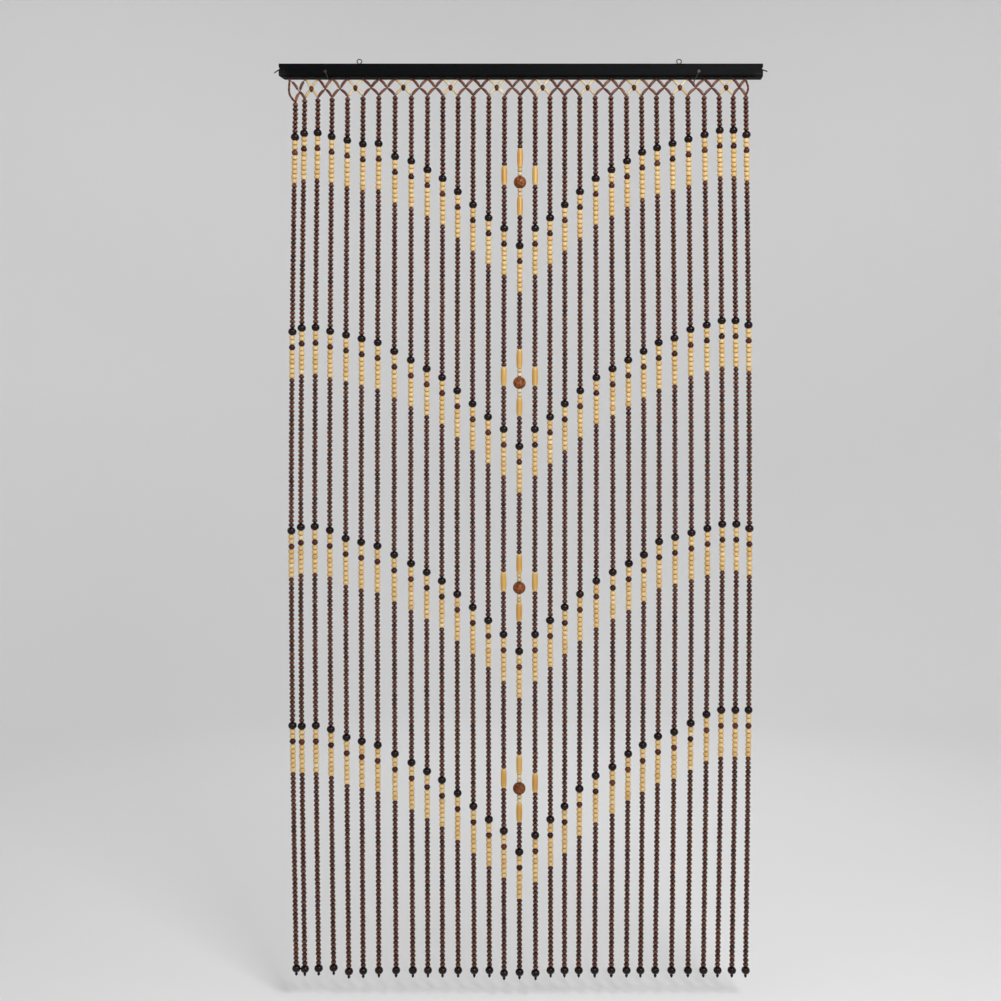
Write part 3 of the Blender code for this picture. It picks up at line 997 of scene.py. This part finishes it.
@dataclass
class BeadStrings:
    """The hanging strings: their beads, the cords inside them and the knots under them."""

    plan: StringPlan = field(default_factory=StringPlan)
    cord_radius: float = 0.95 * MM
    cord_steps: int = 110
    shift: float = 0.22 * MM
    # The end knot's outline: part of its length, and radius
    knot: tuple[tuple[float, float], ...] = (
        (-0.25, 1.1 * MM),
        (0.0, 1.3 * MM),
        (0.12, 2.1 * MM),
        (0.28, 2.55 * MM),
        (0.45, 2.7 * MM),
        (0.62, 2.55 * MM),
        (0.76, 2.0 * MM),
        (0.86, 1.35 * MM),
        (0.94, 1.2 * MM),
        (1.0, 0.9 * MM),
    )
    knot_swell: float = 0.13
    # Brown beads are split at these strings, so that no piece is too heavy
    brown_parts: tuple[tuple[str, int, int], ...] = (
        ("brown_beads_left", 0, 10),
        ("brown_beads_middle", 10, 21),
        ("brown_beads_right", 21, 31),
    )

    def places(self, kind: Kind, first: int, last: int) -> tuple[np.ndarray, np.ndarray]:
        """Find the beads of a kind on some of the strings.

        Args:
            kind: the kind of bead.
            first: the first string.
            last: the string after the last.

        Returns:
            The beads' centres and the string's direction at each.
        """
        centres, axes = [np.empty((0, 3))], [np.empty((0, 3))]
        for index in range(first, last):
            kinds = [each for each, count in self.plan.recipe(index) for _ in range(count)]
            pitch = np.array([BEADS[each].pitch for each in kinds])
            depth = np.cumsum(pitch) - pitch / 2
            wanted = depth[np.array([each is kind for each in kinds])]
            step = 2 * MM
            above = self.plan.hang(index, wanted - step)
            below = self.plan.hang(index, wanted + step)
            centres.append((above + below) / 2)
            axes.append(unit(above - below))
        return np.concatenate(centres), np.concatenate(axes)

    def build_beads(self, rng: np.random.Generator) -> None:
        """Make every strung bead, a piece for each kind.

        Args:
            rng: the source of the small differences between beads.
        """
        for name, first, last in self.brown_parts:
            self.build_kind(name, Kind.BROWN, first, last, rng)
        others = {
            "yellow_beads": Kind.YELLOW,
            "small_yellow_beads": Kind.SMALL_YELLOW,
            "medium_beads": Kind.MEDIUM,
            "dark_beads": Kind.DARK,
            "bamboo_tubes": Kind.TUBE,
            "wooden_balls": Kind.BALL,
        }
        for name, kind in others.items():
            self.build_kind(name, kind, 0, self.plan.count, rng)

    def build_kind(
        self, name: str, kind: Kind, first: int, last: int, rng: np.random.Generator
    ) -> None:
        """Make the beads of one kind on some of the strings.

        Args:
            name: the piece's name.
            kind: the kind of bead.
            first: the first string.
            last: the string after the last.
            rng: the source of the small differences.
        """
        centres, axes = self.places(kind, first, last)
        centres[:, :2] += rng.uniform(-self.shift, self.shift, (len(centres), 2))
        shell = BEADS[kind].strung(centres, axes, rng)
        hand_over(shell.piece(name), BEADS[kind].finish, "bead_strings")

    def build_cords(self) -> None:
        """Make the cord through each string's beads, down into its knot."""
        paths = []
        for index in range(self.plan.count):
            whole = self.plan.length(self.plan.recipe(index)) + self.plan.knot_length / 2
            paths.append(self.plan.hang(index, np.linspace(-1 * MM, whole, self.cord_steps)))
        sides = 6
        grid = swept(np.array(paths), np.array(self.cord_radius), sides)
        lay = strands(np.arange(sides) * math.pi)
        hand_over(closed_rings(grid, lay=lay).piece("string_cords"), END_CORD, "bead_strings")

    def build_knots(self, rng: np.random.Generator) -> None:
        """Make the knot under each string's end bead.

        The radius follows a short outline down the knot, and rises and falls twice round it by
        an eighth as the cord's turns wind down.

        Args:
            rng: the source of each knot's own turn.
        """
        down, width = np.array(self.knot).T
        sides = 12
        paths, radii = [], []
        for index in range(self.plan.count):
            end = self.plan.length(self.plan.recipe(index))
            paths.append(self.plan.hang(index, end + down * self.plan.knot_length))
            wind = 2 * turns(sides)[None] + 7 * down[:, None] + rng.uniform(0, math.tau)
            radii.append(width[:, None] * (1 + self.knot_swell * np.cos(wind)))
        radii = np.array(radii)
        grid = swept(np.array(paths), radii, sides)
        lay = (radii / width[:, None] - 1 + self.knot_swell) / (4 * self.knot_swell)
        hand_over(closed_rings(grid, lay=lay).piece("end_knots"), END_CORD, "bead_strings")


@dataclass
class HeadingNet:
    """The net between the bar and the string tops: crossed cords with a long bead on each half."""

    plan: StringPlan = field(default_factory=StringPlan)
    cord_radius: float = 0.8 * MM
    outer_radius: float = 2.0 * MM
    pale_every: int = 3
    pale_first: int = 1
    left_bend: tuple[float, float] = (-0.5 * MM, -27 * MM)
    right_bend: tuple[float, float] = (4.5 * MM, -16.5 * MM)
    # Half the step between the two cords at a crossing, one in front of the other
    layer: float = 0.4 * MM
    # How far a long bead's middle stands off the straight line, and the cord under its middle
    bow: float = 1.1 * MM
    cord_bow: float = 1.65 * MM
    # How far a cord runs down into the string's first bead
    sink: float = 3 * MM
    # What the two strands turn by along one cord, in radians
    cord_twist: float = 40.0
    # The radius in a groove, and what the strands add to it, as parts of the whole
    cord_swell: tuple[float, float] = (0.92, 0.16)
    knot_swell: tuple[float, float] = (0.86, 0.2)
    knot_reach: float = 2.1 * MM
    knot_radius: float = 2.05 * MM

    def halves(self) -> list[tuple[np.ndarray, np.ndarray, int]]:
        """List every half arm of the net.

        Returns:
            For each, its start, its end, and the crossing that it belongs to.
        """
        found = []
        for index in range(self.plan.count - 1):
            middle = self.plan.crossing(index)
            for side in (index, index + 1):
                found.append((self.plan.apex(side), middle, index))
                found.append((middle, self.plan.net_foot(side), index))
        return found

    @staticmethod
    def outward(starts: np.ndarray, stops: np.ndarray) -> np.ndarray:
        """Square to each half arm in the net's plane, and upward: the way that it is bent."""
        side = unit(np.cross(stops - starts, DEPTH))
        return side * np.sign(side[:, 2:])

    def pale(self, index: int) -> bool:
        """True at a crossing with pale arms and a round bead in its middle."""
        return index % self.pale_every == self.pale_first and index < self.plan.count - 1

    def build_beads(self, rng: np.random.Generator) -> None:
        """Make the long beads, brown or pale, and the round ones at the pale crossings.

        Args:
            rng: the source of the small differences between beads.
        """
        for name, kind, is_pale in (
            ("net_beads_brown", Kind.NET_BROWN, False),
            ("net_beads_pale", Kind.NET_PALE, True),
        ):
            ends = [(a, b) for a, b, at in self.halves() if self.pale(at) == is_pale]
            starts, stops = np.array(ends).transpose(1, 0, 2)
            bow = self.bow * self.outward(starts, stops)
            middles = (starts + stops) / 2 + bow / 2
            shell = BEADS[kind].strung(middles, unit(starts - stops), rng, bow)
            hand_over(shell.piece(name), BEADS[kind].finish, "bead_strings")
        spots = [self.plan.crossing(i) for i in range(self.plan.count - 1) if self.pale(i)]
        centre = BEADS[Kind.NET_CENTRE]
        shell = centre.strung(np.array(spots), np.tile(UP, (len(spots), 1)), rng)
        hand_over(shell.piece("net_centre_beads"), centre.finish, "bead_strings")

    def build_cords(self) -> None:
        """Make the net's cords: up into the bar's hole, down both ways, and down the sides.

        Each is a ring carried along a smooth path, whose radius swells at its two strands.
        """
        routes = []
        last = self.plan.count - 1
        for index in range(last):
            for start, end, side in ((index, index + 1, 1), (index + 1, index, -1)):
                apex = self.plan.apex(start)
                hole = np.array((apex[0], 0, self.plan.hole_z))
                foot = self.plan.net_foot(end)
                middle = self.plan.crossing(min(start, end))
                ends = np.array([apex, middle]), np.array([middle, foot])
                high, low = (ends[0] + ends[1]) / 2 + self.cord_bow * self.outward(*ends)
                knots = np.array([hole, apex, high, middle, low, foot, foot - self.sink * UP])
                knots[1:6, 1] += side * self.layer
                routes.append((knots, self.cord_radius))
        for index, bend in ((0, self.left_bend), (last, self.right_bend)):
            apex = self.plan.apex(index)
            hole = np.array((apex[0], 0, self.plan.hole_z))
            turn = apex + np.array((bend[0], 0, bend[1]))
            foot = self.plan.net_foot(index)
            knots = np.array([hole, apex, turn, foot, foot - self.sink * UP])
            routes.append((knots, self.outer_radius))
        steps, sides = 40, 8
        paths = np.array([smooth_path(knots, steps) for knots, _ in routes])
        radii = np.array([radius for _, radius in routes])[:, None, None]
        twist = np.linspace(0, self.cord_twist, steps)[:, None]
        lay = strands(2 * turns(sides)[None] - twist)
        groove, swell = self.cord_swell
        grid = swept(paths, radii * (groove + swell * lay), sides)
        hand_over(closed_rings(grid, lay=lay).piece("net_cords"), HEAD_CORD, "bead_strings")

    def build_knots(self, rng: np.random.Generator) -> None:
        """Make the small knots where cords meet: under the bar and at the brown crossings.

        A knot is a ball's outline, the square root of 1 less the height squared, cut a little
        outside its poles, and it swells twice round like the cord.

        Args:
            rng: the source of each knot's own turn.
        """
        places = [self.plan.apex(index) for index in range(self.plan.count)]
        places += [self.plan.crossing(i) for i in range(self.plan.count - 1) if not self.pale(i)]
        up = np.linspace(-1, 1, 8)
        sides = 10
        paths = np.array(places)[:, None] + up[None, :, None] * self.knot_reach * UP
        width = self.knot_radius * np.sqrt(1.12 - up**2)[:, None]
        turn = rng.uniform(0, math.tau, (len(places), 1, 1))
        lay = strands(2 * turns(sides)[None] + 3 * up[:, None] + turn)
        groove, swell = self.knot_swell
        grid = swept(paths, width * (groove + swell * lay), sides)
        hand_over(closed_rings(grid, lay=lay).piece("net_knots"), HEAD_CORD, "bead_strings")


# Bar and fittings


@dataclass
class HeaderBar:
    """The painted wooden bar, the frame's own shape with its seams welded and evenly shaded."""

    node: str = "header_bar"
    weld: float = 0.01 * MM

    def build(self) -> None:
        """Weld the frame's triangles into one mesh and dress it."""
        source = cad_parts[self.node].data
        places = np.empty(len(source.vertices) * 3)
        source.vertices.foreach_get("co", places)
        corners = np.empty(len(source.loops), dtype=np.int64)
        source.loops.foreach_get("vertex_index", corners)
        cells = np.round(places.reshape(-1, 3) / self.weld).astype(np.int64)
        points, welded = np.unique(cells, axis=0, return_inverse=True)
        triangles = welded.ravel()[corners].reshape(-1, 3)
        real = (triangles != np.roll(triangles, 1, axis=1)).all(axis=1)
        shell = Shell(points * self.weld, (triangles[real],))
        piece = shell.piece("painted_header_bar", sharp_angle=32)
        even = piece.modifiers.new("even_shading", "WEIGHTED_NORMAL")
        even.keep_sharp = True
        hand_over(piece, SATIN_BLACK, self.node)


@dataclass
class ScrewEye:
    """A screw eye in the bar's top: bent wire, nearly closed."""

    name: str
    x: float
    wire: float = 0.9 * MM
    ring: tuple[float, float] = (4.6 * MM, 4 * MM)
    ring_z: float = 7.4 * MM
    start: float = math.radians(-64)
    end: float = math.radians(248)
    shank: float = -11 * MM
    # The neck between the shank and the ring: across and up
    neck: tuple[tuple[float, float], ...] = (
        (0.0, 1.2 * MM),
        (0.25 * MM, 2.3 * MM),
        (0.8 * MM, 3.1 * MM),
    )

    def build(self) -> None:
        """Bend the wire: a straight shank, a short neck, then an arc of the ring's two radii."""
        shank = np.linspace(self.shank, self.neck[0][1], 6)[:-1]
        neck_across, neck_up = np.array(self.neck).T
        angle = np.linspace(self.start, self.end, 30)
        across = np.concatenate([0 * shank, neck_across, self.ring[0] * np.cos(angle)])
        up = np.concatenate([shank, neck_up, self.ring_z + self.ring[1] * np.sin(angle)])
        knots = np.stack([self.x + across, np.zeros_like(up), up], axis=1)
        path = smooth_path(knots, 150)
        radii = round_tip(path, self.wire)[None, :, None]
        shell = closed_rings(swept(path[None], radii, 14))
        hand_over(shell.piece(self.name + "_wire"), ZINC, self.name)


@dataclass
class Nail:
    """A round-headed wire nail under the bar, its point behind and its head in front."""

    name: str
    x: float
    z: float = -26.05 * MM
    front: float = -41.5 * MM
    back: float = 25 * MM
    radius: float = 1.25 * MM
    head: float = 3 * MM
    thickness: float = 1.2 * MM
    point: float = 4 * MM
    tip: float = 0.12 * MM
    dome: float = 0.3 * MM
    rounding: float = 0.3 * MM
    grips: int = 5
    grip_from: float = 3 * MM
    grip_step: float = 0.6 * MM
    grip_depth: float = 0.12 * MM

    def build(self) -> None:
        """Turn the nail: a square-cut point, the shank with grip rings, and a domed head.

        The dome is a quarter of an ellipse: its height follows the sine of an angle and its
        radius the cosine, up to just short of the middle.
        """
        under = self.front + self.thickness
        step = np.arange(2 * self.grips)
        grip_y = under + self.grip_from + step[::-1] * self.grip_step
        grip_radius = self.radius - self.grip_depth * (step % 2)
        angle = np.linspace(0, math.pi / 2, 6)[1:]
        dome_y = self.front + self.dome - self.dome * np.sin(angle)
        rows = [
            [(self.back, self.tip), (self.back - self.point, self.radius)],
            np.stack([grip_y, grip_radius], axis=1),
            [(under + 0.25 * MM, self.radius), (under, self.radius + self.rounding)],
            [(under, self.head - self.rounding), (under - self.rounding, self.head)],
            [(self.front + self.dome + 0.2 * MM, self.head)],
            np.stack([dome_y, self.head * np.cos(0.97 * angle)], axis=1),
        ]
        along, radius = np.concatenate(rows).T
        path = np.array((self.x, 0.0, self.z)) + along[:, None] * DEPTH
        around = turns(28)[:, None]
        turned = np.cos(around) * ALONG + np.sin(around) * UP
        grid = path[:, None] + radius[:, None, None] * turned[None]
        shell = closed_rings(grid[None])
        hand_over(shell.piece(self.name + "_wire", sharp_angle=40), ZINC, self.name)


@dataclass
class CordEnd:
    """A stub of the twisted head cord out of the bar's end, frayed at its tip."""

    name: str
    side: int
    droop: float
    face: float = 463 * MM
    z: float = -9 * MM
    radius: float = 1.25 * MM
    strands: int = 3
    lay_length: float = 5.5 * MM
    # The radius in a groove, and what the strands add to it, as parts of the whole
    swell: tuple[float, float] = (0.84, 0.2)
    frays: int = 11
    fray_length: float = 2.6 * MM
    fray_radius: float = 0.2 * MM
    fray_spread: float = 0.38
    fray_sag: float = 0.5 * MM
    # How far beyond the bar's end face, and the part of the droop
    curve: tuple[tuple[float, float], ...] = (
        (-6 * MM, 0.0),
        (0.5 * MM, 0.0),
        (3.5 * MM, 0.2),
        (7 * MM, 0.62),
        (9.6 * MM, 0.93),
    )

    def build(self, rng: np.random.Generator) -> None:
        """Lay the strands and fray them.

        The radius rises and falls once for each strand round the cord, and that pattern turns by
        one lay length along it.

        Args:
            rng: the source of the frayed ends' directions.
        """
        knots = np.array([
            (self.side * (self.face + beyond), 0.0, self.z - self.droop * fall)
            for beyond, fall in self.curve
        ])
        steps, sides = 70, 18
        path = smooth_path(knots, steps)
        run = np.linalg.norm(knots[-1] - knots[0]) * np.linspace(0, 1, steps)[:, None]
        twist = math.tau * run / self.lay_length
        lay = strands(self.strands * (turns(sides)[None] - twist))
        groove, swell = self.swell
        grid = swept(path[None], (self.radius * (groove + swell * lay))[None], sides)
        shell = closed_rings(grid, lay=lay)
        ahead = unit(path[-1] - path[-4])
        spread = rng.normal(0, self.fray_spread, (self.frays, 3))
        start = path[-1] + 0.6 * self.radius * unit(spread) - 0.4 * MM * ahead
        reach = unit(ahead + spread) * rng.uniform(0.55, 1.0, (self.frays, 1)) * self.fray_length
        part = np.linspace(0, 1, 6)[None, :, None]
        frays = start[:, None] + reach[:, None] * part - self.fray_sag * part**2 * UP
        thin = (self.fray_radius * (1 - 0.6 * part[..., 0]))[..., None]
        fuzz = closed_rings(swept(frays, thin, 5), lay=np.array(0.8))
        hand_over(shell.with_shell(fuzz).piece(self.name + "_twisted"), HEAD_CORD, self.name)


# Studio and camera


@dataclass(frozen=True)
class SoftBox:
    """A square soft light: where it hangs, what it points at, its side and its watts."""

    name: str
    place: tuple[float, float, float]
    aim: tuple[float, float, float]
    size: float
    power: float

    def hang(self) -> None:
        """Make the light, turned to what it points at and unseen by the camera."""
        light = bpy.data.lights.new(self.name, "AREA")
        light.size, light.energy = self.size, self.power
        obj = bpy.data.objects.new(self.name, light)
        obj.location = self.place
        obj.visible_camera = False
        obj.rotation_mode = "QUATERNION"
        way = Vector(self.aim) - Vector(self.place)
        obj.rotation_quaternion = way.to_track_quat("-Z", "Y")
        bpy.context.scene.collection.objects.link(obj)


@dataclass
class Studio:
    """A pale round studio: a floor that turns up into a wall on all sides, and soft lights."""

    floor_z: float = -1.8
    flat: float = 3.1
    turn: float = 1.3
    wall: float = 3.0
    world: str = "#f4f4f2"
    world_strength: float = 0.3
    # A window from the right, a little fill, a light on the back, and two on the paper behind
    lights: tuple[SoftBox, ...] = (
        SoftBox("key_light", (1.0, -2.3, 0.6), (0, 0, -0.85), 1.0, 62),
        SoftBox("fill_light", (-1.5, -2.2, -0.1), (0, 0, -0.85), 1.2, 4),
        SoftBox("back_light", (0.4, 2.4, 1.4), (0, 0, -0.85), 1.6, 24),
        SoftBox("wall_light_left", (-1.6, 1.6, 1.9), (0, 4.4, -0.6), 1.2, 11.5),
        SoftBox("wall_light_right", (1.6, 1.6, 1.9), (0, 4.4, -0.6), 1.2, 11.5),
    )

    def build(self) -> None:
        """Make the floor and wall as one turned sheet, the world and the lights.

        The sheet's outline is a flat run, a quarter circle of the turn's radius and a straight
        wall, carried round the middle.
        """
        quarter = np.linspace(0, math.pi / 2, 14)[1:]
        radius = np.concatenate(
            [[0.01], np.linspace(0.5, self.flat, 6), self.flat + self.turn * np.sin(quarter)]
        )
        height = np.concatenate([np.zeros(7), self.turn * (1 - np.cos(quarter))])
        radius = np.append(radius, radius[-1])
        height = np.append(height, self.turn + self.wall)
        angle = turns(96)[:, None]
        around = np.cos(angle) * ALONG + np.sin(angle) * DEPTH
        grid = radius[:, None, None] * around[None] + (self.floor_z + height)[:, None, None] * UP
        whole = closed_rings(grid[None, ::-1])
        quads, caps = whole.faces
        piece = Shell(whole.points, (quads, caps[1:])).piece("studio_floor")
        piece.data.flip_normals()
        piece.data.materials.append(PAPER.material())
        world = bpy.data.worlds.new("pale_room")
        world.use_nodes = True
        background = world.node_tree.nodes["Background"]
        background.inputs["Color"].default_value = linear(self.world)
        background.inputs["Strength"].default_value = self.world_strength
        bpy.context.scene.world = world
        for light in self.lights:
            light.hang()


@dataclass
class PhotoCamera:
    """The photograph's camera: level with the curtain's middle and square to it."""

    place: tuple[float, float, float] = (-0.0389, -2.25, -0.8354)
    lens: float = 42.15
    sensor: float = 36.0

    def build(self) -> None:
        """Make the camera and give it to the scene."""
        data = bpy.data.cameras.new("photo_camera")
        data.lens, data.sensor_width = self.lens, self.sensor
        obj = bpy.data.objects.new("photo_camera", data)
        obj.location = self.place
        obj.rotation_euler = (math.pi / 2, 0, 0)
        bpy.context.scene.collection.objects.link(obj)
        bpy.context.scene.camera = obj


def main() -> None:
    """Build the curtain from its bar down, then the studio and the camera."""
    logging.basicConfig(level=logging.INFO, format="%(message)s")
    bpy.context.scene.view_settings.view_transform = "Standard"
    rng = np.random.default_rng(SEED)
    PhotoCamera().build()
    HeaderBar().build()
    ScrewEye("screw_eye_left", -309.6 * MM).build()
    ScrewEye("screw_eye_right", 303.9 * MM).build()
    Nail("nail_left", -369.6 * MM).build()
    Nail("nail_right", 334.9 * MM).build()
    CordEnd("cord_end_left", -1, 5.6 * MM).build(rng)
    CordEnd("cord_end_right", 1, 2.4 * MM).build(rng)
    net = HeadingNet()
    net.build_cords()
    net.build_knots(rng)
    net.build_beads(rng)
    strings = BeadStrings()
    strings.build_cords()
    strings.build_knots(rng)
    strings.build_beads(rng)
    Studio().build()


if __name__ == "__main__":
    main()
